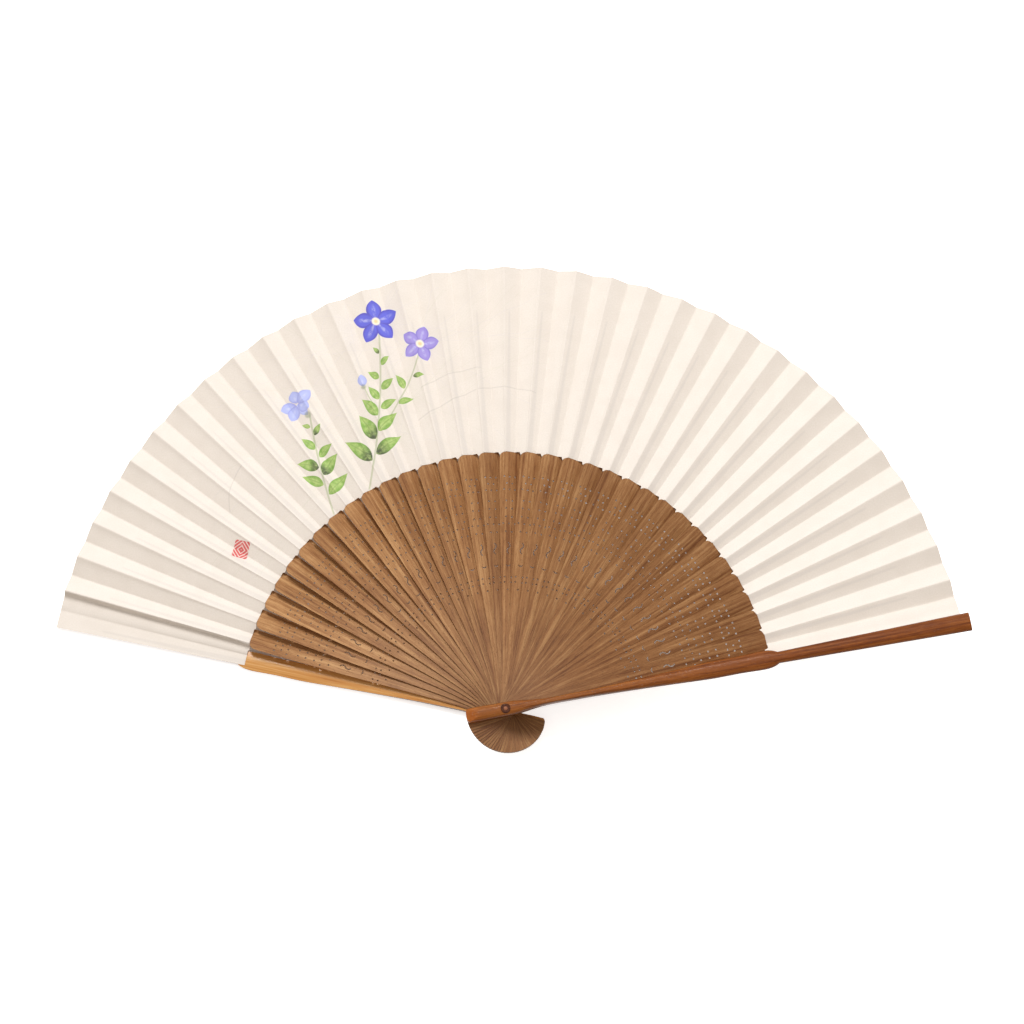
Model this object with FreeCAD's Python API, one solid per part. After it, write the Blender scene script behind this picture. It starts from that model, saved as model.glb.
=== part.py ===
import FreeCAD, Part
import math
import os

# Open folding fan with pierced bamboo ribs and a pleated leaf, in millimetres.
# It lies on the outer face of its back guard, which is z = 0. The rivet axis is +Z through
# the origin, and the leaf opens toward +Y. Every stick is drawn along its own +X from the
# rivet, and then turned to its angle and lifted to its place in the stack.

# ---- the open fan ----
RIBS = 33
FRONT_ANGLE = 10.8         # front guard, degrees counter-clockwise from +X
BACK_ANGLE = 167.3         # back guard
STEPS = RIBS + 1
PITCH = (BACK_ANGLE - FRONT_ANGLE) / STEPS

# ---- the stack at the rivet ----
GUARD_T = 4.0
RIB_T = 0.38
RIB_GAP = 0.12
RIB_RISE = RIB_T + RIB_GAP
FRONT_Z = GUARD_T + RIBS * RIB_RISE + RIB_GAP
HEIGHT = FRONT_Z + GUARD_T

# ---- the sticks ----
TAIL_R = 16.3              # from the rivet to the rounded tail end
TIP_R = 193.7              # from the rivet to the tip of the front guard
BACK_TIP_R = 190.5         # the back guard ends level with the leaf
ROLL_TAN = math.tan(math.radians(26.0))    # sideways lean of a rib where the leaf begins
ROLL_START = 12.0          # the lean grows from nothing here
ROLL_END = 107.0           # and is complete here

# ---- the leaf ----
LEAF_IN_R = 110.5
LEAF_OUT_R = 190.5
LEAF_T = 0.14
LEAF_GAP = 0.05
PANEL_HALF = 0.2375 * PITCH    # half the angle of the panel that holds a slip

# ---- rib outline: half widths along the rib ----
RIB_TAIL_HALF = 2.95
RIB_SIDE = [(0.0, 2.9), (8.0, 2.3), (14.0, 1.75), (24.0, 1.6), (36.5, 1.95), (49.0, 2.45), (62.0, 3.0)]
RIB_SIDE += [(83.5, 3.75), (107.2, 4.35)]
LEFT_SHOULDER_X = 110.2    # the left shoulder stops short of the leaf
RIGHT_SHOULDER_X = 114.5   # the right shoulder runs on under it
SHOULDER_START = 2.9       # a shoulder's curve begins this far before its end
SHOULDER_PULL = 0.6        # roundness of that curve
SLIP_TIP_X = 171.5
SLIP_ROOT_HALF = 1.2
SLIP_TIP_HALF = 0.5
SLIP_T = 0.18
SLIP_LEAN = math.tan(math.radians(0.38))   # the slip runs a little to the left of the rib

# ---- guard outline: half widths along the guard ----
GRIP_SIDE = [(-18.0, 2.85), (-13.0, 2.92), (-7.0, 2.95), (0.0, 2.85), (7.0, 2.35), (13.0, 1.55), (22.0, 1.2)]
GRIP_SIDE += [(34.0, 1.4), (48.5, 1.9), (62.0, 2.45), (76.0, 3.15), (91.5, 3.6), (104.0, 3.85), (109.5, 3.75)]
BLADE_X = 113.5            # both sides are cut back here, where the leaf begins
BLADE_HALF = 2.4
BLADE_TIP_HALF = 3.9
GUARD_ROUND = 1.5          # height of the rounding of the outer face, or all of a narrow stick
GUARD_CROWN = 0.15         # the top of that rounding is planed off flat
TAIL_DROP = 2.2            # the outer face is rounded down to the tail
TAIL_BEND_DROP = 0.55      # drop halfway along that rounding
TAIL_ROUND_X = -11.5       # where it starts
TAIL_BLANK_HALF = 3.2      # the tail's corners are rounded from a blank of this half width
TAIL_CORNER_R = 2.2
BLADE_RELIEF = 2.45        # the inner face is cut back this far beside the leaf
RELIEF = [(15.0, 0.0), (61.0, 1.55), (105.0, BLADE_RELIEF), (TIP_R, BLADE_RELIEF)]

# ---- the rivet ----
PIN_R = 0.8
BORE_R = 0.85
CAP_R = 1.85
CAP_T = 0.6
CAP_SEAT_R = 2.05
CAP_SEAT_DEPTH = 0.5
CAP_EDGE_R = 0.2
RECESS = 0.1               # the rivet's back end stays this far above the floor
PIN_DOME = 0.25

# ---- pierced pattern: (x, y) centres of the round holes ----
HOLE_R = 0.38
HOLES_IN_THREE = [(99.8, 2.2), (94.3, 2.2), (79.8, 2.4)]
HOLES_IN_TWO = [(97.0, 1.1), (89.6, 1.25), (86.3, 1.25), (82.7, 1.25), (76.4, 1.25), (57.2, 1.4), (55.0, 1.4)]
HOLES_SINGLE = [51.9]
WAVE_X = 67.2              # the wavy slit starts here
WAVE_LENGTH = 4.4
WAVE_SWING = 0.55
SLIT_HALF = 0.26
CRESCENT_X = 61.6          # the back of the crescent
CRESCENT_HALF = 1.05
CRESCENT_RISE = 0.95
CRESCENT_THICK = 0.55

# ---- cutting shapes ----
SLAB_HALF = 6.0            # half width of the twisted slab that a rib is cut from
REACH = 10.0               # height of a cutting prism past the stick
MARGIN = 1.0               # how far a cutting shape runs past the end of a stick

UP = FreeCAD.Vector(0, 0, 1)


def point(x, y, z=0.0):
    return FreeCAD.Vector(x, y, z)


def polar(radius, degrees, z):
    turn = math.radians(degrees)
    return point(radius * math.cos(turn), radius * math.sin(turn), z)


def line(a, b):
    return Part.LineSegment(a, b).toShape()


def arc(a, b, c):
    return Part.Arc(a, b, c).toShape()


def smooth(points):
    curve = Part.BSplineCurve()
    curve.interpolate(points)
    return curve.toShape()


def bezier(poles):
    curve = Part.BezierCurve()
    curve.setPoles(poles)
    return curve.toShape()


def turned(shape, degrees, z=0.0):
    """A copy of a stick turned about the rivet axis and lifted."""
    copy = shape.copy()
    placed = FreeCAD.Placement(point(0, 0, z), FreeCAD.Rotation(UP, degrees))
    copy.Placement = placed.multiply(shape.Placement)
    return copy


def stick_angle(step):
    return BACK_ANGLE - step * PITCH


def rib_z(step):
    """Middle of rib number step, at the rivet."""
    return GUARD_T + RIB_GAP + RIB_T / 2 + (step - 1) * RIB_RISE


def solid_of(faces):
    shell = Part.Shell(faces)
    shell.sewShape()
    solid = Part.Solid(shell)
    if solid.Volume < 0:
        solid.reverse()
    return solid


def save(node, shape):
    if not shape.isValid():
        raise ValueError(node + " is not a valid solid")
    shape.exportStep("parts/" + node + ".step")


# ---- ribs ----

def mirrored(points, side):
    return [point(x, side * y) for x, y in points]


def slip_point(x, side, half):
    return point(x, x * SLIP_LEAN + side * half)


def shoulder(end_x, side):
    """One side of the rib's end: straight on, a rounded corner, and in to the slip."""
    side_x, half = RIB_SIDE[-1]
    side_end = point(side_x, side * half)
    corner = point(end_x - SHOULDER_START, side * half)
    root = slip_point(end_x, side, SLIP_ROOT_HALF)
    pull_in = corner + point(SHOULDER_PULL * SHOULDER_START, 0)
    pull_out = root + point(0, SHOULDER_PULL * (side * half - root.y))
    edges = [bezier([corner, pull_in, pull_out, root])]
    if corner.x > side_end.x:
        edges.append(line(side_end, corner))
    return edges


def rib_outline():
    tail_x = -math.sqrt(TAIL_R ** 2 - RIB_TAIL_HALF ** 2)
    tail_end = (tail_x, RIB_TAIL_HALF)
    edges = [arc(point(tail_x, -RIB_TAIL_HALF), point(-TAIL_R, 0), point(tail_x, RIB_TAIL_HALF))]
    tips = []
    for side, end_x in ((1, LEFT_SHOULDER_X), (-1, RIGHT_SHOULDER_X)):
        root = slip_point(end_x, side, SLIP_ROOT_HALF)
        tip = slip_point(SLIP_TIP_X, side, SLIP_TIP_HALF)
        edges += [smooth(mirrored([tail_end] + RIB_SIDE, side)), line(root, tip)]
        edges += shoulder(end_x, side)
        tips.append(tip)
    crown = slip_point(SLIP_TIP_X + SLIP_TIP_HALF, 0, 0)
    edges.append(arc(tips[0], crown, tips[1]))
    return Part.Wire(Part.__sortEdges__(edges))


def round_hole(x, y, radius=HOLE_R):
    return Part.Wire(Part.makeCircle(radius, point(x, y)))


def wave_slit():
    """A narrow slit along an S of two arcs."""
    quarter = WAVE_LENGTH / 4
    start, middle, end = (point(WAVE_X + n * 2 * quarter, 0) for n in range(3))
    first = arc(start, point(WAVE_X + quarter, WAVE_SWING), middle)
    second = arc(middle, point(WAVE_X + 3 * quarter, -WAVE_SWING), end)
    return Part.Wire([first, second]).makeOffset2D(SLIT_HALF)


def crescent():
    """A moon-shaped opening with its horns toward the leaf."""
    horn_x = CRESCENT_X + CRESCENT_RISE
    left = point(horn_x, CRESCENT_HALF)
    right = point(horn_x, -CRESCENT_HALF)
    back = arc(left, point(CRESCENT_X, 0), right)
    inside = arc(right, point(CRESCENT_X + CRESCENT_THICK, 0), left)
    return Part.Wire([back, inside])


def rib_openings():
    wires = [round_hole(0, 0, BORE_R), wave_slit(), crescent()]
    wires += [round_hole(x, 0) for x in HOLES_SINGLE]
    for x, y in HOLES_IN_TWO:
        wires += [round_hole(x, y), round_hole(x, -y)]
    for x, y in HOLES_IN_THREE:
        wires += [round_hole(x, y), round_hole(x, 0), round_hole(x, -y)]
    return wires


def slab_section(x, thickness, side):
    """One edge across the slab's top (side 1) or bottom (side -1)."""
    lean = ROLL_TAN * min(max((x - ROLL_START) / (ROLL_END - ROLL_START), 0), 1)
    z = side * thickness / 2
    return line(point(x, -SLAB_HALF, z - SLAB_HALF * lean), point(x, SLAB_HALF, z + SLAB_HALF * lean))


def twisted_slab():
    """A thin slab, flat at the rivet, which leans steadily more and then stays leaning."""
    stations = [(-TAIL_R - MARGIN, RIB_T), (ROLL_START, RIB_T), (ROLL_END, RIB_T)]
    stations += [(LEAF_IN_R - LEAF_GAP, SLIP_T), (SLIP_TIP_X + MARGIN, SLIP_T)]
    pieces = []
    for (x0, t0), (x1, t1) in zip(stations, stations[1:]):
        near = [slab_section(x0, t0, side) for side in (1, -1)]
        far = [slab_section(x1, t1, side) for side in (1, -1)]
        faces = [Part.makeRuledSurface(near[i], far[i]) for i in (0, 1)]
        faces += [Part.makeRuledSurface(*pair) for pair in (near, far)]
        for end in (0, -1):
            rails = [line(near[i].Vertexes[end].Point, far[i].Vertexes[end].Point) for i in (0, 1)]
            faces.append(Part.makeRuledSurface(*rails))
        pieces.append(solid_of(faces))
    return pieces


def make_rib():
    face = Part.makeFace([rib_outline()] + rib_openings(), "Part::FaceMakerBullseye")
    prism = face.extrude(point(0, 0, 2 * REACH))
    prism.translate(point(0, 0, -REACH))
    lengths = [prism.common(piece) for piece in twisted_slab()]
    return lengths[0].fuse(lengths[1:]).Solids[0]


# ---- guards ----

def guard_section(x, half):
    """Across the guard: a flat inner side, short upright walls and a rounded outer side."""
    height = min(GUARD_ROUND, half)
    wall = GUARD_T + GUARD_CROWN - height
    corners = [point(x, -half), point(x, half), point(x, half, wall), point(x, -half, wall)]
    if half > height:
        curve = Part.Ellipse(point(x, half, wall), point(x, 0, wall + height), point(x, 0, wall))
    else:
        curve = Part.Circle(point(x, 0, wall), FreeCAD.Vector(1, 0, 0), half)
    first, last = (curve.parameter(corners[n]) for n in (2, 3))
    rounding = curve.toShape(first, last if last > first else last + 2 * math.pi)
    walls = [line(corners[0], corners[1]), line(corners[1], corners[2]), line(corners[3], corners[0])]
    return Part.Wire(Part.__sortEdges__(walls + [rounding]))


def guard_side():
    """The guard seen from its side: rounded at the tail, thick at the rivet, thin along the leaf."""
    tail = (-TAIL_R - MARGIN, 0.0)
    inner = [point(x, -SLAB_HALF, depth) for x, depth in [tail] + RELIEF]
    end_low = inner[0] + point(0, 0, GUARD_T - TAIL_DROP)
    top = point(TAIL_ROUND_X, -SLAB_HALF, GUARD_T)
    far = point(TIP_R, -SLAB_HALF, GUARD_T)
    bend = point((end_low.x + top.x) / 2, -SLAB_HALF, GUARD_T - TAIL_BEND_DROP)
    edges = [line(a, b) for a, b in zip(inner, inner[1:])]
    edges += [line(inner[-1], far), line(far, top), arc(top, bend, end_low), line(end_low, inner[0])]
    face = Part.Face(Part.Wire(Part.__sortEdges__(edges)))
    return face.extrude(point(0, 2 * SLAB_HALF, 0))


def tail_blank():
    """The plan of the tail: part of the round head, with its two corners taken off."""
    blank = Part.makeBox(TAIL_R, 2 * TAIL_BLANK_HALF, GUARD_T, point(-TAIL_R, -TAIL_BLANK_HALF, 0))
    corners = [e for e in blank.Edges if e.BoundBox.XMax < -MARGIN and e.BoundBox.YLength < MARGIN]
    blank = blank.makeFillet(TAIL_CORNER_R, corners)
    return blank.common(Part.makeCylinder(TAIL_R, GUARD_T))


def make_guard(tip_r):
    """A guard with its inner face at z = 0 and its outer face up."""
    stations = GRIP_SIDE + [(BLADE_X, BLADE_HALF)]
    grip = Part.makeLoft([guard_section(*station) for station in stations], True)
    ends = [(BLADE_X, BLADE_HALF), (TIP_R + MARGIN, BLADE_TIP_HALF)]
    blade = Part.makeLoft([guard_section(*station) for station in ends], True, True)
    guard = grip.fuse(blade).common(guard_side())
    rest = Part.makeBox(tip_r, 2 * SLAB_HALF, GUARD_T, point(0, -SLAB_HALF, 0))
    bore = Part.makeCylinder(BORE_R, REACH, point(0, 0, -MARGIN))
    seat = Part.makeCylinder(CAP_SEAT_R, REACH, point(0, 0, GUARD_T - CAP_SEAT_DEPTH))
    return guard.common(tail_blank().fuse(rest)).cut([bore, seat])


def make_back_guard():
    """The same stick turned over, so that its outer face is down on z = 0."""
    flipped = make_guard(BACK_TIP_R)
    flipped.rotate(point(0, 0, GUARD_T / 2), point(1, 0, 0), 180)
    return turned(flipped, BACK_ANGLE)


# ---- rivet ----

def make_cap(thickness):
    """A washer with a rounded rim, lying on z = 0."""
    cap = Part.makeCylinder(CAP_R, thickness)
    rim = [e for e in cap.Edges if e.BoundBox.ZMin > thickness / 2]
    cap = cap.makeFillet(CAP_EDGE_R, rim)
    return cap.cut(Part.makeCylinder(PIN_R, thickness))


def make_front_cap():
    """The upper washer stands a little proud of the front guard."""
    cap = make_cap(CAP_T)
    cap.translate(point(0, 0, HEIGHT - CAP_SEAT_DEPTH))
    return cap


def make_back_cap():
    """The lower washer is sunk, so that the fan rests on its guard."""
    cap = make_cap(CAP_SEAT_DEPTH - RECESS).mirror(point(0, 0, 0), UP)
    cap.translate(point(0, 0, CAP_SEAT_DEPTH))
    return cap


def make_pin():
    """The pin through the whole stack, with a low dome at its front end."""
    top = HEIGHT - CAP_SEAT_DEPTH + CAP_T
    pin = Part.makeCylinder(PIN_R, top - RECESS, point(0, 0, RECESS))
    dome_r = (PIN_R ** 2 + PIN_DOME ** 2) / (2 * PIN_DOME)
    ball = Part.makeSphere(dome_r, point(0, 0, top + PIN_DOME - dome_r))
    dome = ball.common(Part.makeCylinder(PIN_R, PIN_DOME * 2, point(0, 0, top)))
    return pin.fuse(dome).removeSplitter()


# ---- leaf ----

def fold_lines():
    """Angle and the height at each end of every fold, from the back guard to the front."""
    lift = SLIP_T / 2 + LEAF_GAP
    fall = math.sin(math.radians(PANEL_HALF)) * ROLL_TAN
    low = GUARD_T - BLADE_RELIEF + LEAF_GAP
    high = FRONT_Z + BLADE_RELIEF - LEAF_GAP - LEAF_T
    lines = []
    for step in range(STEPS + 1):
        for side in (1, -1):
            heights = [rib_z(step) + lift + side * radius * fall for radius in (LEAF_IN_R, LEAF_OUT_R)]
            if step == 0:
                heights = [low, low]
            if step == STEPS:
                heights = [high, high]
            lines.append((stick_angle(step) + side * PANEL_HALF, heights))
    return lines


def make_leaf():
    """The pleated sheet: ruled panels between neighbouring folds, closed into one solid."""
    folds = []
    for degrees, heights in fold_lines():
        corners = {}
        for layer in (0, 1):
            inner = polar(LEAF_IN_R, degrees, heights[0] + layer * LEAF_T)
            outer = polar(LEAF_OUT_R, degrees, heights[1] + layer * LEAF_T)
            corners[layer] = (inner, outer)
        folds.append(corners)
    faces = []
    for here, there in zip(folds, folds[1:]):
        for layer in (0, 1):
            faces.append(Part.makeRuledSurface(line(*here[layer]), line(*there[layer])))
        for rim in (0, 1):
            low_edge = line(here[0][rim], there[0][rim])
            high_edge = line(here[1][rim], there[1][rim])
            faces.append(Part.makeRuledSurface(low_edge, high_edge))
    for end in (folds[0], folds[-1]):
        faces.append(Part.makeRuledSurface(line(*end[0]), line(*end[1])))
    return solid_of(faces)


def main():
    os.makedirs("parts", exist_ok=True)
    save("back_guard", make_back_guard())
    save("front_guard", turned(make_guard(TIP_R), FRONT_ANGLE, FRONT_Z))
    rib = make_rib()
    for step in range(1, RIBS + 1):
        save("rib_%02d" % step, turned(rib, stick_angle(step), rib_z(step)))
    save("leaf", make_leaf())
    save("rivet_pin", make_pin())
    save("rivet_cap_front", make_front_cap())
    save("rivet_cap_back", make_back_cap())


main()
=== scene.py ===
import bpy
import math
import random
from collections import namedtuple

import numpy as np
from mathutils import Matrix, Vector


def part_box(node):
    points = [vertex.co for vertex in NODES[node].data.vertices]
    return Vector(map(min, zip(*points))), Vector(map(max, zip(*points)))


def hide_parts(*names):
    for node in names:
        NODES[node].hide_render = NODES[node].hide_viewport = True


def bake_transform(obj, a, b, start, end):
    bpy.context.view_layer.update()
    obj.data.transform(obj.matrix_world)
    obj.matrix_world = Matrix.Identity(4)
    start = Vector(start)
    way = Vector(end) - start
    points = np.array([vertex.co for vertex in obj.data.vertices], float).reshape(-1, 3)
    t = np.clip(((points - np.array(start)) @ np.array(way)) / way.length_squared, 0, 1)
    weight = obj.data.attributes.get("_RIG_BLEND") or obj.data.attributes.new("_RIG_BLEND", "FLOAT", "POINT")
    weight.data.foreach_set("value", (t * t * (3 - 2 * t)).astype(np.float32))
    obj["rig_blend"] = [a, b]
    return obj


# Open folding fan of pierced bamboo with a painted paper leaf. The sticks and the rivet are
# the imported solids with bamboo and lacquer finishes. The leaf is made here: one pleated sheet
# that folds with the sticks. Lengths are in metres, and in millimetres where the name has MM.

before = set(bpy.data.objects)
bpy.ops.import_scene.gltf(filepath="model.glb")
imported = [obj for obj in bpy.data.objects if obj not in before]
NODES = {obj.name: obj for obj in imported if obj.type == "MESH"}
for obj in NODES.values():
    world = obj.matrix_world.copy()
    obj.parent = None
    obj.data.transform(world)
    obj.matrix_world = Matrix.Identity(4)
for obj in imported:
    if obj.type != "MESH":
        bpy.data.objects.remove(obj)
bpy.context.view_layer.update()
MM = 0.001

# ---- the leaf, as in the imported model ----
LEAF_IN_MM = 110.5
LEAF_OUT_MM = 190.5
PANEL_HALF_SHARE = 0.2375      # half of a glued panel, as a share of the pitch
PANEL_SLOPE = math.tan(math.radians(26.0))
SLIP_LEAN = math.tan(math.radians(0.38))
SLIP_TIP_MM = 171.5
SLIP_ROOT_HALF_MM = 1.2
SLIP_TIP_HALF_MM = 0.5
PAPER_OVER_RIB_MM = 0.14       # underside of the paper above the middle of its slip
PAPER_MM = 0.09

# ---- camera ----
CAMERA_ELEVATION = 77.17
CAMERA_DISTANCE = 1.5
CAMERA_LENS = 126.9
CAMERA_SENSOR = 36
CAMERA_TARGET = Vector((0.0026, 0.0848, 0.012))


def srgb(red, green, blue):
    """A colour given as 0 to 255, as the linear values that nodes use."""
    def linear(value):
        share = value / 255
        return share / 12.92 if share <= 0.04045 else ((share + 0.055) / 1.055) ** 2.4
    return (linear(red), linear(green), linear(blue), 1.0)


def grey(value):
    return (value, value, value, 1.0)


def darker(colour, share):
    return tuple(share * c for c in colour[:3]) + (1.0,)


# ======== nodes ========

BUMP_STRENGTH = 0.5


class Nodes:
    """Short ways to add nodes to a tree."""

    def __init__(self, tree):
        self.tree = tree

    def node(self, kind, settings=None, **inputs):
        made = self.tree.nodes.new("ShaderNode" + kind)
        for key, value in (settings or {}).items():
            setattr(made, key, value)
        for key, value in inputs.items():
            self.put(made.inputs[key.replace("_", " ")], value)
        return made

    def put(self, socket, value):
        if isinstance(value, bpy.types.NodeSocket):
            self.tree.links.new(value, socket)
        else:
            socket.default_value = value

    def math(self, operation, *values, clamp=False):
        made = self.tree.nodes.new("ShaderNodeMath")
        made.operation = operation
        made.use_clamp = clamp
        for socket, value in zip(made.inputs, values):
            self.put(socket, value)
        return made.outputs[0]

    def product(self, *values):
        total = values[0]
        for value in values[1:]:
            total = self.math("MULTIPLY", total, value)
        return total

    def ramp(self, value, low, high, to_low=0.0, to_high=1.0):
        """A smooth step from to_low to to_high, where the value goes from low to high."""
        made = self.tree.nodes.new("ShaderNodeMapRange")
        made.interpolation_type = "SMOOTHSTEP"
        names = ("Value", "From Min", "From Max", "To Min", "To Max")
        for key, given in zip(names, (value, low, high, to_low, to_high)):
            self.put(made.inputs[key], given)
        return made.outputs[0]

    def mix(self, share, first, second, blend="MIX"):
        made = self.tree.nodes.new("ShaderNodeMix")
        made.data_type = "RGBA"
        made.blend_type = blend
        self.put(made.inputs[0], share)
        self.put(made.inputs[6], first)
        self.put(made.inputs[7], second)
        return made.outputs[2]

    def noise(self, vector, scale, detail, roughness):
        made = self.tree.nodes.new("ShaderNodeTexNoise")
        self.put(made.inputs["Vector"], vector)
        self.put(made.inputs["Scale"], scale)
        self.put(made.inputs["Detail"], detail)
        self.put(made.inputs["Roughness"], roughness)
        return made.outputs["Fac"]

    def stretch(self, vector, scale, move=(0, 0, 0), turn=0.0):
        made = self.tree.nodes.new("ShaderNodeMapping")
        self.put(made.inputs["Vector"], vector)
        made.inputs["Scale"].default_value = scale
        made.inputs["Location"].default_value = move
        made.inputs["Rotation"].default_value = (0, 0, turn)
        return made.outputs[0]

    def split(self, vector):
        made = self.tree.nodes.new("ShaderNodeSeparateXYZ")
        self.put(made.inputs[0], vector)
        return made.outputs

    def placed(self, vector, x, y, turn, reach=1):
        """Coordinates from a point, along a direction and across it."""
        made = self.node("Mapping", {"vector_type": "TEXTURE"}, Vector=vector, Location=(x, y, 0),
                         Rotation=(0, 0, turn), Scale=(reach, 1, 1))
        return self.split(made.outputs[0])

    def streaks(self, along, grain, move=(0, 0, 0)):
        """Noise drawn out along a stick, from one of the grains below."""
        stretch, scale, detail, roughness = grain
        return self.noise(self.stretch(along, stretch, move), scale, detail, roughness)

    def coordinates(self, kind):
        return self.node("TexCoord").outputs[kind]


class Finish(Nodes):
    """A material, and short ways to set its shader."""

    def __init__(self, name):
        self.material = bpy.data.materials.new(name)
        self.material.use_nodes = True
        super().__init__(self.material.node_tree)
        self.shader = self.tree.nodes["Principled BSDF"]

    def bump(self, height, distance):
        made = self.tree.nodes.new("ShaderNodeBump")
        made.inputs["Distance"].default_value = distance
        made.inputs["Strength"].default_value = BUMP_STRENGTH
        self.put(made.inputs["Height"], height)
        for name in ("Normal", "Coat Normal"):
            self.put(self.shader.inputs[name], made.outputs[0])

    def surface(self, **inputs):
        for key, value in inputs.items():
            self.put(self.shader.inputs[key.replace("_", " ")], value)


# ======== sticks ========

def stick_angle_of(node):
    """The direction of a stick, from the middle of its far end."""
    points = np.array([v.co[:2] for v in NODES[node].data.vertices])
    far = np.linalg.norm(points, axis=1)
    end = points[far > far.max() - MM].mean(axis=0)
    return math.atan2(end[1], end[0])


BACK_ANGLE = stick_angle_of("back_guard")
FRONT_ANGLE = stick_angle_of("front_guard")
RIB_NAMES = sorted(name for name in NODES if name.startswith("rib_"))
STEPS = len(RIB_NAMES) + 1
PITCH = (BACK_ANGLE - FRONT_ANGLE) / STEPS
PANEL_HALF = PANEL_HALF_SHARE * PITCH

# grains: how noise in millimetres is drawn out along, across and through a stick, then its
# scale, detail and roughness
STREAKS = ((0.012, 1, 1), 0.9, 4.0, 0.6)
FIBRES = ((0.05, 1, 1), 4.2, 3.0, 0.65)
PORES = ((0.16, 1, 1), 6.0, 1.0, 0.5)
CLOUDS = ((0.05, 0.2, 0.2), 1.0, 2.0, 0.5)
INNER_STREAKS = ((0.02, 1, 1), 1.1, 4.0, 0.6)
SEED_MOVE = (37.0, 11.3, 5.7)  # how far apart two sticks are cut from the bamboo
STREAK_SHARE, FIBRE_SHARE, CLOUD_SHARE = 0.75, 0.55, 0.35
TONE_RANGE = (0.56, 1.08)
PORE_RANGE, PORE_SHARE, PORE_DARK, PORE_RELIEF = (0.63, 0.74), 0.55, 0.35, -0.8
SIDE_SHADE_RANGE, SIDE_SHADE_SHARE, SIDE_SHADE_DARK = (0.3, 0.8), 0.55, 0.3   # the cut sides are darker: painted shade that deepens the gaps between the ribs
# the sticks get darker and warmer towards the rivet, by the reach in millimetres
NEAR_RIVET_MM, NEAR_RIVET_COLOUR = (20.0, 75.0), (0.86, 0.83, 0.79, 1.0)
ROUGH_VARIES = 0.25
COAT_ROUGHNESS = 0.2
GRAIN_RELIEF = 0.00005

# dark, middle and light
RIB_COLOURS = (srgb(124, 80, 46), srgb(160, 114, 71), srgb(190, 146, 98))
GUARD_COLOURS = (srgb(108, 55, 14), srgb(146, 84, 30), srgb(174, 111, 52))
INNER_COLOURS = (srgb(180, 118, 58), srgb(200, 142, 78), srgb(216, 168, 106))
# the guards: lacquer, then a browner blade and a redder tail, by the reach in millimetres
GUARD_LOOK = {"gloss": 0.4, "coat": 0.45, "specular": 0.05, "crown": 1.1}
FACING_IN_RANGE = (0.55, 0.9)
BLADE_MM, BLADE_SHARE, BLADE_COLOUR = (25.0, 125.0), 0.85, (0.64, 0.5, 0.38, 1.0)
TAIL_MM, TAIL_SHARE, TAIL_COLOUR = (-15.5, -9.0), 0.45, srgb(182, 98, 34)
# the ribs' tone; how it falls from rib to rib towards the front guard, which is painted shade, and how it
# varies; and how their colour shifts
RIB_TONE, RIB_SHADE_FALL, RIB_TONE_VARIES = 0.99, 0.0072, 0.1
RIB_SHIFT = (0.0006, -0.0012, -0.0014)


def stick_angle(step):
    return BACK_ANGLE - step * PITCH


def along_stick(f, angle):
    """Object coordinates in millimetres, with x along the stick."""
    return f.stretch(f.coordinates("Object"), (1000, 1000, 1000), turn=-angle)


def three_tones(f, tone, colours, low, middle, high):
    dark, between, light = colours
    colour = f.mix(f.ramp(tone, low, middle), dark, between)
    return f.mix(f.ramp(tone, middle, high), colour, light)


def bamboo(name, angle, seed, colours, shade=(1, 1, 1), gloss=0.45, coat=0.0, specular=0.25,
           crown=0.0):
    """Split bamboo: long streaks, fine fibres and short dark pores, all along the stick."""
    dark = colours[0]
    f = Finish(name)
    along = along_stick(f, angle)
    grain = f.stretch(along, (1, 1, 1), tuple(seed * move for move in SEED_MOVE))
    streaks, fibres, pores, clouds = (f.streaks(grain, kind)
                                      for kind in (STREAKS, FIBRES, PORES, CLOUDS))
    tone = f.math("MULTIPLY_ADD", fibres, FIBRE_SHARE, f.math("MULTIPLY", streaks, STREAK_SHARE))
    tone = f.math("MULTIPLY_ADD", clouds, CLOUD_SHARE, tone)
    colour = three_tones(f, f.ramp(tone, *TONE_RANGE), colours, 0.0, 0.5, 1.0)
    pore = f.ramp(pores, *PORE_RANGE)
    colour = f.mix(f.math("MULTIPLY", pore, PORE_SHARE), colour, darker(dark, PORE_DARK))
    # painted shade: the upright cut sides of a stick get darker, for the shadowed gaps between the ribs
    upright = f.math("ABSOLUTE", f.split(f.coordinates("Normal"))[2])
    side = f.ramp(upright, *SIDE_SHADE_RANGE, SIDE_SHADE_SHARE, 0.0)
    colour = f.mix(side, colour, darker(dark, SIDE_SHADE_DARK))
    colour = f.mix(1.0, colour, shade + (1.0,), "MULTIPLY")
    reach, across, _ = f.split(along)
    # darker and warmer towards the rivet
    near_rivet = f.ramp(reach, *NEAR_RIVET_MM, 1.0, 0.0)
    colour = f.mix(near_rivet, colour, NEAR_RIVET_COLOUR, "MULTIPLY")
    rough = f.math("MULTIPLY_ADD", fibres, ROUGH_VARIES, gloss - 0.1)
    f.surface(Base_Color=colour, Roughness=rough, Specular_IOR_Level=specular,
              Coat_Weight=coat, Coat_Roughness=COAT_ROUGHNESS)
    height = f.math("MULTIPLY_ADD", pore, PORE_RELIEF, f.math("ADD", fibres, streaks))
    if crown:
        height = f.math("MULTIPLY_ADD", f.math("MULTIPLY", across, across), -crown, height)
    f.bump(height, GRAIN_RELIEF)
    return f


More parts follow.
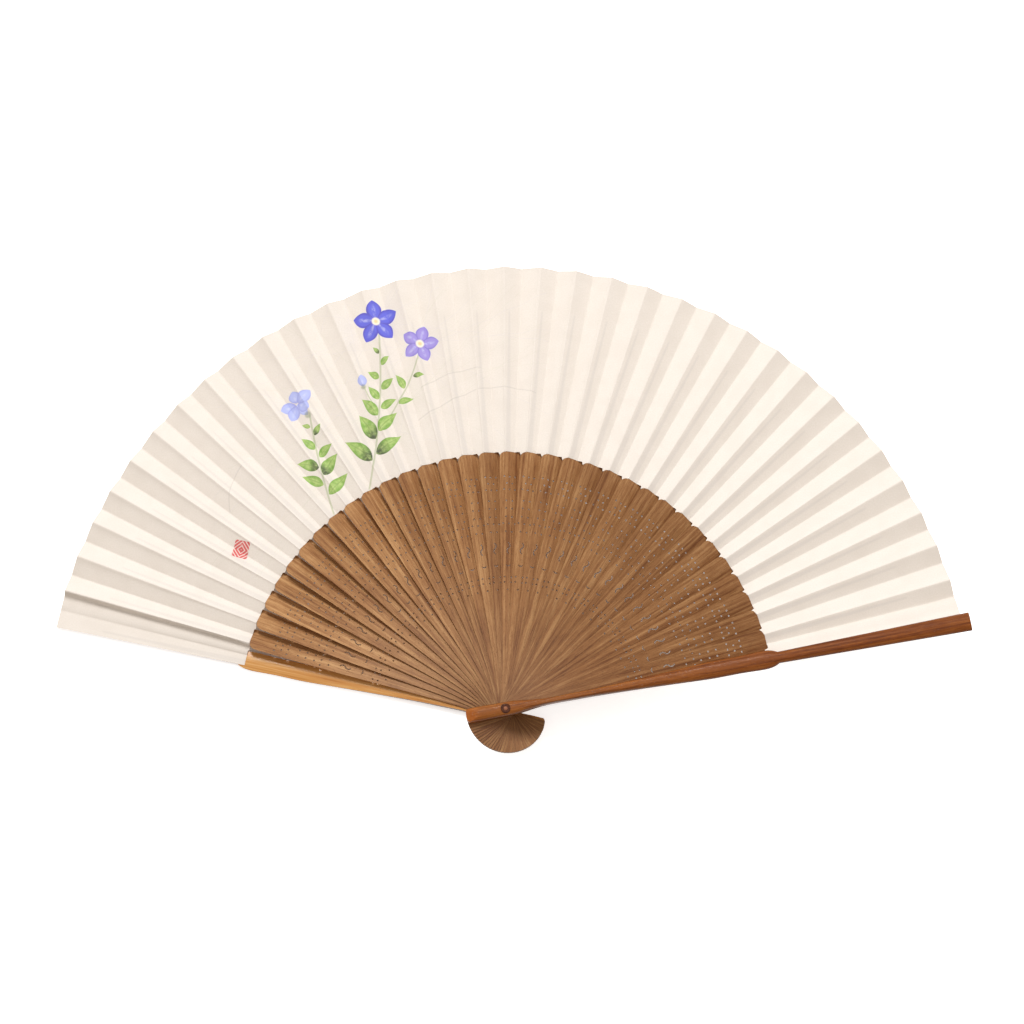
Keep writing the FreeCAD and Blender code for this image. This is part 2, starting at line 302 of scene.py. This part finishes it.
def guard_bamboo(name, angle, seed):
    """Lacquered dark skin outside, pale split bamboo on the inner face."""
    inward = -1.0 if name == "front_guard" else 1.0
    f = bamboo("bamboo_" + name, angle, seed, GUARD_COLOURS, **GUARD_LOOK)
    outer = f.shader.inputs["Base Color"].links[0].from_socket
    normal = f.split(f.coordinates("Normal"))[2]
    facing_in = f.ramp(f.math("MULTIPLY", normal, inward), *FACING_IN_RANGE)
    along = along_stick(f, angle)
    streaks = f.streaks(along, INNER_STREAKS, (seed, 0, 0))
    inner = three_tones(f, streaks, INNER_COLOURS, 0.3, 0.5, 0.7)
    reach = f.split(along)[0]
    blade = f.ramp(reach, *BLADE_MM, 0.0, BLADE_SHARE)
    outer = f.mix(blade, outer, BLADE_COLOUR, "MULTIPLY")
    outer = f.mix(f.ramp(reach, *TAIL_MM, TAIL_SHARE, 0.0), outer, TAIL_COLOUR)
    f.surface(Base_Color=f.mix(facing_in, outer, inner))
    return f.material


def finish_sticks():
    rng = random.Random(11)
    for step, name in enumerate(RIB_NAMES, 1):
        # painted shade: each rib nearer the front guard is darker, on top of its random tone
        tone = RIB_TONE - RIB_SHADE_FALL * step + RIB_TONE_VARIES * rng.random()
        shade = tuple(tone + shift * step for shift in RIB_SHIFT)
        made = bamboo("bamboo_%02d" % step, stick_angle(step), step, RIB_COLOURS, shade)
        NODES[name].material_slots[0].material = made.material
    for name, angle, seed in (("front_guard", FRONT_ANGLE, 51), ("back_guard", BACK_ANGLE, 52)):
        NODES[name].material_slots[0].material = guard_bamboo(name, angle, seed)


# ======== rivet ========

def rivet_finish(name, scale, dark_below, dark, light, rough, rough_varies, specular):
    """Worn brown lacquer with a fine grain."""
    f = Finish(name)
    grain = f.streaks(f.coordinates("Object"), ((1000, 1000, 1000), scale, 3.0, 0.6))
    colour = f.mix(f.ramp(grain, dark_below, 0.7), dark, light)
    f.surface(Base_Color=colour, Specular_IOR_Level=specular,
              Roughness=f.math("MULTIPLY_ADD", grain, rough_varies, rough))
    f.bump(grain, 0.00002)
    return f.material


def finish_rivet():
    washer = rivet_finish("rivet_washer", 2.2, 0.35, srgb(60, 26, 10), srgb(92, 46, 22),
                          0.25, 0.3, 0.15)
    head = rivet_finish("rivet_head", 3.0, 0.3, srgb(128, 74, 46), srgb(160, 104, 72),
                        0.3, 0.25, 0.3)
    for node in ("rivet_cap_front", "rivet_cap_back"):
        NODES[node].material_slots[0].material = washer
    NODES["rivet_pin"].material_slots[0].material = head


# ======== leaf ========

def middle_of(node):
    low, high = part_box(node)
    return (low[2] + high[2]) / 2


RIB_Z = [None] + [middle_of(name) for name in RIB_NAMES]
LEAF_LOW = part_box("leaf")[0][2]
LEAF_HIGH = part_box("leaf")[1][2]

# shares of the way across a glued panel and a free panel, where lines of points run outwards
GLUED_STOPS = [0.0, 0.06, 0.28, 0.5, 0.72, 0.94, 1.0]
FREE_STOPS = [0.0, 0.05, 0.13, 0.4, 0.5, 0.62, 0.8, 0.9, 0.95, 1.0]
ROW_STEP_MM = 2.5
UNEVEN_SHARE = 0.06            # how far a fold is off its place, as a share of half a panel
# the free panels' inner edge: its shape across a panel, and its depth at either guard
CUSP_STOPS = [0.0, 0.4, 0.5, 0.62, 0.8, 0.95, 1.0]
CUSP_SHAPE = [0.0, 0.0, 1.0, 1.0, 0.6, 0.0, 0.0]
CUSP_MM = (0.5, 1.6)
# a free panel climbs a first part by the share FIRST_LIFT_END, and the rest from a share
# that is CLIMB_START at the inner edge and CLIMB_FALL less CLIMB_FALL_MM further out
FIRST_LIFT, FIRST_LIFT_END = 0.27, 0.12
CLIMB_START, CLIMB_FALL, CLIMB_FALL_MM = 0.955, 0.17, 60
OFF_SLIP_MM = 9.0              # put in the map where there is no slip behind the paper

# share is how far across a free panel the line is, or None on a glued panel
Column = namedtuple("Column", "angle offset weight step share")


def plane_height(step, radius, offset):
    """Middle of the paper glued to stick number step, offset being the angle from the stick."""
    if step == 0:
        return LEAF_LOW + PAPER_MM * MM / 2
    if step == STEPS:
        return LEAF_HIGH - PAPER_MM * MM / 2
    lift = (PAPER_OVER_RIB_MM + PAPER_MM / 2) * MM
    return RIB_Z[step] + lift + radius * np.sin(offset) * PANEL_SLOPE


def smooth_step(share):
    return share * share * (3 - 2 * share)


def free_panel_share(share, radius):
    """How far the free panel has climbed from the panel below it to the panel above it."""
    out = (radius - LEAF_IN_MM * MM) / (CLIMB_FALL_MM * MM)
    climb = np.minimum(CLIMB_START - CLIMB_FALL * out, CLIMB_START)
    start = np.clip(share / FIRST_LIFT_END, 0, 1)
    end = np.clip((share - climb) / (1 - climb), 0, 1)
    return FIRST_LIFT * smooth_step(start) + (1 - FIRST_LIFT) * smooth_step(end)


def leaf_columns():
    """The lines of points that run outwards, from the back guard to the front guard."""
    rng = random.Random(5)
    uneven = UNEVEN_SHARE * PANEL_HALF
    edges = {}
    for step in range(STEPS + 1):
        for side in (1, -1):
            edges[step, side] = side * (PANEL_HALF + uneven * rng.uniform(-1, 1))
    columns = []
    for step in range(STEPS + 1):
        left, right = edges[step, 1], edges[step, -1]
        for share in GLUED_STOPS:
            offset = left + (right - left) * share
            columns.append(Column(stick_angle(step) + offset, offset, step / STEPS, step, None))
        if step == STEPS:
            break
        far = edges[step + 1, 1]
        for share in FREE_STOPS[1:-1]:
            weight = (step + share) / STEPS
            offset = right + (far - right) * share
            angle = BACK_ANGLE - weight * (BACK_ANGLE - FRONT_ANGLE) + offset
            columns.append(Column(angle, offset, weight, step, share))
    return columns


def column_radii(column, rows):
    """Millimetres from the rivet. The free panels reach in a little between the ribs' ends."""
    cusp = 0.0
    if column.share is not None:
        deep = CUSP_MM[0] + (CUSP_MM[1] - CUSP_MM[0]) * column.step / STEPS
        cusp = deep * np.interp(column.share, CUSP_STOPS, CUSP_SHAPE)
    return np.linspace(LEAF_IN_MM - cusp, LEAF_OUT_MM, rows)


def middle_surface(columns, rows):
    """Points in the middle of the paper, by column and row."""
    points = np.zeros((len(columns), rows, 3))
    for number, column in enumerate(columns):
        radii = column_radii(column, rows) * MM
        height = plane_height(column.step, radii, column.offset)
        if column.share is not None:
            climb = free_panel_share(column.share, radii)
            above = plane_height(column.step + 1, radii, column.offset)
            height = height + (above - height) * climb
        points[number, :, 0] = radii * math.cos(column.angle)
        points[number, :, 1] = radii * math.sin(column.angle)
        points[number, :, 2] = height
    return points


def leaf_faces(count, rows):
    """The faces of the sheet's two sides, and those of the rim that joins them."""
    under = count * rows
    sides, rims = [], []
    for i in range(count - 1):
        for j in range(rows - 1):
            a, b = i * rows + j, (i + 1) * rows + j
            sides.append((a, b, b + 1, a + 1))
            sides.append((under + a, under + a + 1, under + b + 1, under + b))
    for i in range(count - 1):
        for j in (0, rows - 1):
            a, b = i * rows + j, (i + 1) * rows + j
            rims.append((a, under + a, under + b, b) if j == 0 else (a, b, under + b, under + a))
    for i in (0, count - 1):
        for j in range(rows - 1):
            a, b = i * rows + j, i * rows + j + 1
            rims.append((a, b, under + b, under + a) if i == 0 else (a, under + a, under + b, b))
    return sides, rims


def leaf_mesh():
    columns = leaf_columns()
    rows = int(round((LEAF_OUT_MM - LEAF_IN_MM) / ROW_STEP_MM)) + 1
    middle = middle_surface(columns, rows)
    half = np.array([0, 0, PAPER_MM * MM / 2])
    points = np.concatenate([(middle + half).reshape(-1, 3), (middle - half).reshape(-1, 3)])
    sides, rims = leaf_faces(len(columns), rows)
    mesh = bpy.data.meshes.new("leaf_sheet")
    mesh.from_pydata(points.tolist(), [], sides + rims)
    mesh.validate()
    weights = np.repeat([column.weight for column in columns], rows)
    return mesh, columns, rows, np.concatenate([weights, weights]), len(sides)


def add_maps(mesh, columns, rows, sheet_faces):
    """Two maps in millimetres: a point across and along its slip, and on the open fan."""
    slip_map = mesh.uv_layers.new(name="slip")
    fan_map = mesh.uv_layers.new(name="fan")
    count = len(columns) * rows
    radii = [column_radii(column, rows) for column in columns]
    for number, face in enumerate(mesh.polygons):
        corners = [mesh.loops[i].vertex_index % count for i in face.loop_indices]
        free = any(columns[c // rows].share is not None for c in corners)
        for loop, corner in zip(face.loop_indices, corners):
            column = columns[corner // rows]
            radius = radii[corner // rows][corner % rows]
            across = radius * (math.sin(column.offset) - SLIP_LEAN)
            if free or number >= sheet_faces:
                across = OFF_SLIP_MM
            slip_map.data[loop].uv = (across, radius)
            place = (radius * math.cos(column.angle), radius * math.sin(column.angle))
            fan_map.data[loop].uv = place


def smooth_but_for_rims(mesh, sheet_faces):
    sharp = mesh.attributes.new("sharp_edge", "BOOLEAN", "EDGE")
    keys = {edge.key: edge.index for edge in mesh.edges}
    flags = [False] * len(mesh.edges)
    for face in mesh.polygons:
        face.use_smooth = True
        if face.index >= sheet_faces:
            for key in face.edge_keys:
                flags[keys[key]] = True
    sharp.data.foreach_set("value", flags)


# ======== brushes ========

PLACED = ("Vector", "Location", "Rotation", "Scale")
SHAPED = ("Bow", "Base Power", "Tip Power", "Soft", "Tone")
PAINTED = ("Mask", "Along", "Edge", "Tones")   # what one shape hands on to the next
SHAPE_SOFT_MM = 0.22


def shape_group():
    """One brush shape, pointed at both ends and bowed, added to what is painted already."""
    group = bpy.data.node_groups.new("brush_shape", "ShaderNodeTree")
    face = group.interface
    for name in PLACED:
        face.new_socket(name, in_out="INPUT", socket_type="NodeSocketVector")
    for name in SHAPED + PAINTED:
        face.new_socket(name, in_out="INPUT", socket_type="NodeSocketFloat")
    for name in PAINTED:
        face.new_socket(name, in_out="OUTPUT", socket_type="NodeSocketFloat")
    f = Nodes(group)
    given = group.nodes.new("NodeGroupInput").outputs
    made = group.nodes.new("NodeGroupOutput").inputs
    places = {name: given[name] for name in PLACED}
    mapping = f.node("Mapping", {"vector_type": "TEXTURE"}, **places)
    along, across, _ = f.split(mapping.outputs[0])
    along = f.math("ADD", along, 0.0, clamp=True)
    rest = f.math("SUBTRACT", 1.0, along)
    width = f.product(f.math("POWER", along, given["Base Power"]),
                      f.math("POWER", rest, given["Tip Power"]))
    bow = f.product(along, rest, 4.0, given["Bow"])
    across = f.math("ABSOLUTE", f.math("SUBTRACT", across, bow))
    inside = f.math("SUBTRACT", width, across)
    mask = f.ramp(inside, f.math("MULTIPLY", given["Soft"], -0.4), given["Soft"])
    edge = f.math("DIVIDE", across, f.math("MAXIMUM", width, 0.05))
    f.put(made["Mask"], f.math("MAXIMUM", given["Mask"], mask))
    kept = f.math("SUBTRACT", 1.0, mask)
    for name, value in (("Along", along), ("Edge", edge), ("Tones", given["Tone"])):
        before = f.math("MULTIPLY", kept, given[name])
        f.put(made[name], f.math("MULTIPLY_ADD", mask, value, before))
    return group


def brush(f, group, vector, shapes, base_power, tip_power):
    """All shapes of one kind: tip x, tip y, root x, root y, half width, bow and tone of each."""
    total = base_power + tip_power
    peak = (base_power / total) ** base_power * (tip_power / total) ** tip_power
    state = {name: 0.0 for name in PAINTED}
    for tip_x, tip_y, root_x, root_y, half, bow, tone in shapes:
        reach = math.hypot(tip_x - root_x, tip_y - root_y)
        turn = math.atan2(tip_y - root_y, tip_x - root_x)
        wide = half / peak
        node = f.node("Group", {"node_tree": group})
        given = {"Vector": vector, "Location": (root_x, root_y, 0), "Rotation": (0, 0, turn),
                 "Scale": (reach, wide, 1), "Bow": bow / wide, "Base Power": base_power,
                 "Tip Power": tip_power, "Soft": SHAPE_SOFT_MM / wide, "Tone": tone}
        for name, value in {**given, **state}.items():
            f.put(node.inputs[name], value)
        state = {name: node.outputs[name] for name in state}
    return [state[name] for name in PAINTED]


def strokes(f, vector, lines, soft):
    """Thin bowed lines."""
    total = 0.0
    for from_x, from_y, to_x, to_y, bow, half in lines:
        reach = math.hypot(to_x - from_x, to_y - from_y)
        turn = math.atan2(to_y - from_y, to_x - from_x)
        along, across, _ = f.placed(vector, from_x, from_y, turn, reach)
        rise = f.product(along, f.math("SUBTRACT", 1.0, along), -4.0 * bow)
        beside = f.math("ABSOLUTE", f.math("SUBTRACT", across, rise))
        line = f.ramp(beside, half, half + soft, 1.0, 0.0)
        ends = f.product(f.ramp(along, 0.0, 0.03), f.ramp(along, 0.97, 1.0, 1.0, 0.0))
        total = f.math("MAXIMUM", f.math("MULTIPLY", line, ends), total)
    return total


def disc(f, vector, x, y, radius, soft):
    away = f.node("VectorMath", {"operation": "DISTANCE"})
    f.put(away.inputs[0], vector)
    f.put(away.inputs[1], (x, y, 0))
    return f.ramp(away.outputs["Value"], radius - soft, radius + soft, 1.0, 0.0)


# ======== painting ========

# places and sizes are in millimetres on the open fan, from the rivet
# a stem: from x, from y, to x, to y, bow to the right, half width
TALL_STEM = (-57.2, 94, -53.4, 163, 2.3, 0.24)
TALL_BRANCH = (-51.6, 122, -36.5, 153, 1.6, 0.16)
BUD_STALK = (-52.7, 128, -59.5, 139, -0.6, 0.14)
SHORT_STEM = (-71.3, 84, -82.2, 127.5, -0.9, 0.24)
# leaves on a stem: first and last place along it, how many, longest and shortest, first side
TALL_LEAVES = (0.17, 0.86, 11, 14.0, 4.5, 1)
BRANCH_LEAVES = (0.3, 0.72, 3, 8.0, 6.0, -1)
SHORT_LEAVES = (0.2, 0.86, 8, 13.0, 5.0, -1)
# a flower: centre x, centre y, petal length, half width, first petal's direction, tone
OPEN_FLOWERS = [(-54.7, 167.2, 9.6, 3.3, 101, 1.0), (-36.1, 157.6, 8.0, 2.8, 78, 0.35)]
SIDE_FLOWER = (-87.6, 131.8, 8.4, 2.6, 120, 0.12)
SIDE_FLOWER_AXIS, SIDE_FLOWER_SQUASH = math.radians(141), 0.62
SIDE_TUBE = (-87.6, 131.8, -82.9, 127.2, 1.9, 0, 0.0)
BUD = (-60.8, 144.2, -59.6, 138.8, 2.0, 0, 0.08)
# faint brushed contour lines
CONTOURS = [
    (-37, 124.5, -12, 137.5, -0.9, 0.12), (-12, 137.5, 13, 135.5, -1.8, 0.12),
    (-36, 138, -10, 147, -1.8, 0.10), (-115, 86, -110, 106, -2.4, 0.12),
]
# the stamp: middle, half width and half height, turn, width of a band
SEAL, SEAL_HALF, SEAL_TURN, SEAL_BAND = (-110.2, 70.2), (3.2, 3.6), math.radians(-14), 0.8
# the faces that get the paper with the painting
PAINTED_X = (-122.0, 18.0)
PAINTED_Y = (58.0, 182.0)

PETALS = 5
LILAC_TONE = 0.35
COVER = 0.93                   # how far a leaf or a petal hides the paper
INK = {
    "contour": srgb(150, 146, 138), "stem": srgb(160, 174, 126),
    "pale green": srgb(188, 210, 128), "deep green": srgb(122, 166, 66),
    "tip green": srgb(160, 196, 96), "vein green": srgb(96, 134, 52),
    "rim green": srgb(108, 150, 60), "dark green": srgb(52, 60, 46),
    "pale violet": srgb(186, 196, 244), "deep violet": srgb(92, 98, 218),
    "lilac": srgb(160, 138, 218), "rim violet": srgb(70, 60, 176),
    "tip violet": srgb(60, 60, 184), "petal streak": srgb(216, 220, 250),
    "throat": srgb(92, 84, 190), "heart": srgb(250, 240, 220), "pollen": srgb(236, 196, 128),
    "calyx": srgb(142, 152, 122), "pale red": srgb(246, 178, 170), "red": srgb(206, 62, 66),
}


def point_on(stem, share):
    """A point on a bowed stem, and the stem's direction there."""
    x, y, to_x, to_y, bow = stem[:5]
    reach, turn = math.hypot(to_x - x, to_y - y), math.atan2(to_y - y, to_x - x)
    across = -4 * bow * share * (1 - share)
    x += (to_x - x) * share - across * math.sin(turn)
    y += (to_y - y) * share + across * math.cos(turn)
    return x, y, turn + math.atan(-4 * bow * (1 - 2 * share) / reach)


def grow_leaves(stem, plan, rng):
    """Leaves to the left and right in turn, shorter towards the top, as brush shapes."""
    first, last, count, longest, shortest, side = plan
    stalk = 0.7
    leaves = []
    for number in range(count):
        share = number / (count - 1)
        x, y, turn = point_on(stem, first + (last - first) * share + rng.uniform(-0.02, 0.02))
        turn += side * math.radians(rng.uniform(38, 64))
        length = (longest + (shortest - longest) * share) * rng.uniform(0.85, 1.12)
        ahead, beside = math.cos(turn), math.sin(turn)
        root = (x + stalk * ahead, y + stalk * beside)
        tip = (x + length * ahead, y + length * beside)
        half, bow = length * rng.uniform(0.19, 0.25), -side * length * rng.uniform(0.02, 0.08)
        leaves.append(tip + root + (half, bow, rng.choice((0.0, 0.15, 0.3, 1.0))))
        side = -side
    return leaves


def petals_of(flower, axis=0.0, squash=1.0):
    """Petals round a centre. A flower seen from the side is squashed along its axis."""
    x, y, reach, half, first, tone = flower
    root = 0.5
    petals = []
    for number in range(PETALS):
        turn = math.radians(first + 360 / PETALS * number) - axis
        along, across = squash * math.cos(turn), math.sin(turn)
        ahead = along * math.cos(axis) - across * math.sin(axis)
        beside = along * math.sin(axis) + across * math.cos(axis)
        petals.append((x + reach * ahead, y + reach * beside,
                       x + root * ahead, y + root * beside, half, 0.0, tone))
    return petals


def paint_leaves(f, group, vector, colour, grain):
    rng = random.Random(23)
    leaves = grow_leaves(TALL_STEM, TALL_LEAVES, rng) + grow_leaves(TALL_BRANCH, BRANCH_LEAVES, rng)
    leaves += grow_leaves(SHORT_STEM, SHORT_LEAVES, rng)
    mask, along, edge, dark = brush(f, group, vector, leaves, 0.8, 1.3)
    tone = f.math("MULTIPLY_ADD", grain, 1.1, f.math("MULTIPLY", edge, 0.4))
    green = f.mix(f.ramp(tone, 0.35, 1.0), INK["pale green"], INK["deep green"])
    green = f.mix(f.ramp(along, 0.45, 1.0, 0.0, 0.5), green, INK["tip green"])
    vein = f.math("MULTIPLY", f.ramp(edge, 0.04, 0.18, 1.0, 0.0), 0.4)
    green = f.mix(vein, green, INK["vein green"])
    rim = f.math("MULTIPLY", f.ramp(edge, 0.8, 1.0), 0.35)
    green = f.mix(rim, green, INK["rim green"])
    blot = f.product(f.ramp(dark, 0.2, 1.0), f.ramp(along, 0.12, 0.5, 1.0, 0.0),
                     f.ramp(grain, 0.3, 0.6, 0.35, 1.0), 0.9)
    green = f.mix(blot, green, INK["dark green"])
    return f.mix(f.math("MULTIPLY", mask, COVER), colour, green)


def paint_petals(f, group, vector, colour, grain):
    shapes = [SIDE_TUBE, BUD] + petals_of(SIDE_FLOWER, SIDE_FLOWER_AXIS, SIDE_FLOWER_SQUASH)
    for flower in OPEN_FLOWERS:
        shapes += petals_of(flower)
    mask, along, edge, tone = brush(f, group, vector, shapes, 0.95, 0.9)
    violet = f.mix(tone, INK["pale violet"], INK["deep violet"])
    from_lilac = f.math("ABSOLUTE", f.math("SUBTRACT", tone, LILAC_TONE))
    violet = f.mix(f.ramp(from_lilac, 0.0, 0.06, 0.8, 0.0), violet, INK["lilac"])
    rim = f.product(f.ramp(edge, 0.55, 1.0), f.math("MULTIPLY_ADD", tone, 0.6, 0.22))
    violet = f.mix(rim, violet, INK["rim violet"])
    tips = f.product(f.ramp(along, 0.6, 1.0), f.math("MULTIPLY", tone, 0.4))
    violet = f.mix(tips, violet, INK["tip violet"])
    streak = f.product(f.ramp(edge, 0.03, 0.35, 0.5, 0.0), f.ramp(grain, 0.35, 0.6),
                       f.ramp(along, 0.55, 0.85, 1.0, 0.0))
    violet = f.mix(streak, violet, INK["petal streak"])
    violet = f.mix(f.ramp(along, 0.0, 0.35, 0.4, 0.0), violet, INK["throat"])
    return f.mix(f.math("MULTIPLY", mask, COVER), colour, violet)


def paint_hearts(f, vector, colour):
    """The middles of the open flowers, and the green where a closed one meets its stalk."""
    for x, y, *_ in OPEN_FLOWERS:
        colour = f.mix(disc(f, vector, x, y, 1.7, 0.4), colour, INK["heart"])
        pollen = f.math("MULTIPLY", disc(f, vector, x, y, 0.8, 0.5), 0.7)
        colour = f.mix(pollen, colour, INK["pollen"])
    for x, y, radius in (SIDE_TUBE[2:4] + (1.3,), BUD[2:4] + (1.0,)):
        calyx = f.math("MULTIPLY", disc(f, vector, x, y, radius, 0.5), 0.6)
        colour = f.mix(calyx, colour, INK["calyx"])
    return colour


def paint_seal(f, vector, colour, grain):
    """A plain square stamp with cut diamonds and no lettering."""
    soft = 0.12
    x, y, _ = f.placed(vector, *SEAL, SEAL_TURN)
    apart = [f.math("ABSOLUTE", value) for value in (x, y)]
    square = f.product(*(f.ramp(value, half - soft, half + soft, 1.0, 0.0)
                         for value, half in zip(apart, SEAL_HALF)))
    bands = f.ramp(f.math("PINGPONG", f.math("ADD", *apart), SEAL_BAND), 0.14, 0.34)
    worn = f.ramp(grain, 0.3, 0.45, 0.35, 0.85)
    colour = f.mix(f.math("MULTIPLY", square, 0.18), colour, INK["pale red"])
    return f.mix(f.product(square, bands, worn), colour, INK["red"])


def paint(f, fan, colour):
    """The painting: two plants of bellflowers, faint contour lines and a stamp."""
    grain = f.noise(fan, 0.55, 4.0, 0.6)
    contours = f.math("MULTIPLY", strokes(f, fan, CONTOURS, 0.25), 0.17)
    colour = f.mix(contours, colour, INK["contour"])
    stems = strokes(f, fan, [TALL_STEM, TALL_BRANCH, BUD_STALK, SHORT_STEM], 0.3)
    colour = f.mix(f.math("MULTIPLY", stems, 0.5), colour, INK["stem"])
    group = shape_group()
    colour = paint_leaves(f, group, fan, colour, grain)
    colour = paint_petals(f, group, fan, colour, grain)
    colour = paint_hearts(f, fan, colour)
    return paint_seal(f, fan, colour, grain)


# ======== paper ========

PAPER_COLOURS = (srgb(229, 221, 211), srgb(235, 227, 219))
PAPER_CLOUD, PAPER_CLOUD_SHARE = srgb(223, 214, 204), 0.25
# painted shade where the slips behind the paper show through it
SLIP_SHADE, SLIP_SHADE_SHARE = srgb(198, 192, 188), 0.25
SLIP_EDGE_MM = (-0.65, 0.3)    # from inside to outside the slip's edge, where its shade fades
SLIP_END_MM = 1.0


def slip_shade(f):
    """Painted shade: 1 where the slip behind the paper shows through as a grey shadow, 0 elsewhere."""
    across, radius, _ = f.split(f.node("UVMap", {"uv_map": "slip"}).outputs[0])
    out = f.math("DIVIDE", f.math("SUBTRACT", radius, LEAF_IN_MM), SLIP_TIP_MM - LEAF_IN_MM)
    taper = SLIP_TIP_HALF_MM - SLIP_ROOT_HALF_MM
    half = f.math("MULTIPLY_ADD", out, taper, SLIP_ROOT_HALF_MM)
    beside = f.math("SUBTRACT", f.math("ABSOLUTE", across), half)
    end = f.ramp(radius, SLIP_TIP_MM - SLIP_END_MM, SLIP_TIP_MM + SLIP_END_MM, 1.0, 0.0)
    return f.product(f.ramp(beside, *SLIP_EDGE_MM, 1.0, 0.0), end)


def paper(name, painted):
    f = Finish(name)
    fan = f.node("UVMap", {"uv_map": "fan"}).outputs[0]
    fibres = f.noise(fan, 1.6, 5.0, 0.65)
    clouds = f.noise(fan, 0.12, 2.0, 0.5)
    colour = f.mix(f.ramp(fibres, 0.3, 0.7), *PAPER_COLOURS)
    cloud = f.math("MULTIPLY", f.ramp(clouds, 0.4, 0.65), PAPER_CLOUD_SHARE)
    colour = f.mix(cloud, colour, PAPER_CLOUD)
    shade = slip_shade(f)
    colour = f.mix(f.math("MULTIPLY", shade, SLIP_SHADE_SHARE), colour, SLIP_SHADE)
    if painted:
        colour = paint(f, fan, colour)
    f.surface(Base_Color=colour, Roughness=0.82, Specular_IOR_Level=0.3)
    relief = f.math("MULTIPLY_ADD", shade, 0.4, f.math("MULTIPLY", fibres, 0.8))
    f.bump(relief, GRAIN_RELIEF)
    return f.material


def is_painted(face):
    x, y, _ = face.center / MM
    within = PAINTED_X[0] < x < PAINTED_X[1] and PAINTED_Y[0] < y < PAINTED_Y[1]
    return within and face.normal.z > 0


def make_leaf():
    mesh, columns, rows, weights, sheet_faces = leaf_mesh()
    add_maps(mesh, columns, rows, sheet_faces)
    smooth_but_for_rims(mesh, sheet_faces)
    leaf = bpy.data.objects.new("leaf_paper", mesh)
    bpy.context.scene.collection.objects.link(leaf)
    mesh.materials.append(paper("paper", False))
    mesh.materials.append(paper("paper_painted", True))
    for face in list(mesh.polygons)[:sheet_faces]:
        face.material_index = int(is_painted(face))
    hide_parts("leaf")
    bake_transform(leaf, "frame", "front_stick", (-1, 0, 0), (1, 0, 0))
    mesh.attributes["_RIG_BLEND"].data.foreach_set("value", weights.astype(np.float32))


# ======== stage ========

FLOOR_REACH = 6.0
FLOOR_DROP = 0.0002
FLOOR_GREY = 0.88
FLOOR_GLOW = 0.7               # painted light: the floor's own glow, which washes out the fan's shadows, everywhere but under the open leaf
# where the glow fades: from the rivet, and across the two guards
GLOW_RIM = (0.182, 0.194)
GLOW_FRONT = (0.001, 0.007)
GLOW_BACK = (-0.004, 0.004)


def past_line(f, x, y, angle, side, low, high):
    """0 to 1 across a line through the rivet."""
    rise = f.math("MULTIPLY", x, -side * math.sin(angle))
    return f.ramp(f.math("MULTIPLY_ADD", y, side * math.cos(angle), rise), low, high)


def make_floor():
    mesh = bpy.data.meshes.new("floor")
    reach = FLOOR_REACH
    corners = [(-reach, -reach, 0), (reach, -reach, 0), (reach, reach, 0), (-reach, reach, 0)]
    mesh.from_pydata(corners, [], [(0, 1, 2, 3)])
    floor = bpy.data.objects.new("floor", mesh)
    floor.location = (0, 0, -FLOOR_DROP)
    floor.visible_diffuse = False
    bpy.context.scene.collection.objects.link(floor)
    f = Finish("floor_white")
    place = f.coordinates("Object")
    away = f.node("VectorMath", {"operation": "LENGTH"})
    f.put(away.inputs[0], place)
    x, y, _ = f.split(place)
    # painted light: the floor glows to wash out shadows, except under the open leaf, where it stays darker
    under = f.product(past_line(f, x, y, FRONT_ANGLE, 1, *GLOW_FRONT),
                      past_line(f, x, y, BACK_ANGLE, -1, *GLOW_BACK),
                      f.ramp(away.outputs["Value"], *GLOW_RIM, 1.0, 0.0))
    glow = f.mix(under, grey(FLOOR_GLOW), grey(0.0))
    f.surface(Base_Color=grey(FLOOR_GREY), Roughness=0.9, Emission_Color=glow,
              Emission_Strength=1.0)
    mesh.materials.append(f.material)


# the sky's colour in front of the fan and behind it, and where one turns into the other
SKY_FRONT, SKY_BEHIND, SKY_TURN = (0.49, 0.435, 0.38, 1.0), grey(0.78), (-0.7, 0.8)
KEY_LIGHT = {"place": (-0.2, 1.02, 1.62), "target": (0, 0.1, 0), "size": 0.55, "power": 19.5,
             "colour": (1.0, 0.99, 0.98)}
SHEEN_LIGHT = {"place": (0.0, 0.72, 1.6), "target": (0, 0.05, 0), "size": 0.2, "power": 3.0,
               "colour": (1, 1, 1)}


def area_light(name, place, target, size, power, colour):
    data = bpy.data.lights.new(name, "AREA")
    data.shape = "DISK"
    data.size = size
    data.energy = power
    data.color = colour
    lamp = bpy.data.objects.new(name, data)
    lamp.location = place
    lamp.rotation_euler = (Vector(target) - Vector(place)).to_track_quat("-Z", "Y").to_euler()
    bpy.context.scene.collection.objects.link(lamp)


def make_light():
    world = bpy.data.worlds.new("studio")
    world.use_nodes = True
    sky = Nodes(world.node_tree)
    back = sky.split(sky.coordinates("Generated"))[1]
    colour = sky.mix(sky.ramp(back, *SKY_TURN), SKY_FRONT, SKY_BEHIND)
    sky.put(sky.tree.nodes["Background"].inputs["Color"], colour)
    bpy.context.scene.world = world
    area_light("key", **KEY_LIGHT)
    area_light("sheen", **SHEEN_LIGHT)
    bpy.context.scene.view_settings.view_transform = "Standard"


def make_camera():
    data = bpy.data.cameras.new("camera")
    data.lens = CAMERA_LENS
    data.sensor_width = CAMERA_SENSOR
    data.clip_start = 0.05
    camera = bpy.data.objects.new("camera", data)
    tilt = math.radians(CAMERA_ELEVATION)
    away = Vector((0, -math.cos(tilt), math.sin(tilt)))
    camera.location = CAMERA_TARGET + away * CAMERA_DISTANCE
    camera.rotation_euler = (math.pi / 2 - tilt, 0, 0)
    bpy.context.scene.collection.objects.link(camera)
    bpy.context.scene.camera = camera


make_camera()
make_light()
make_floor()
finish_sticks()
finish_rivet()
make_leaf()
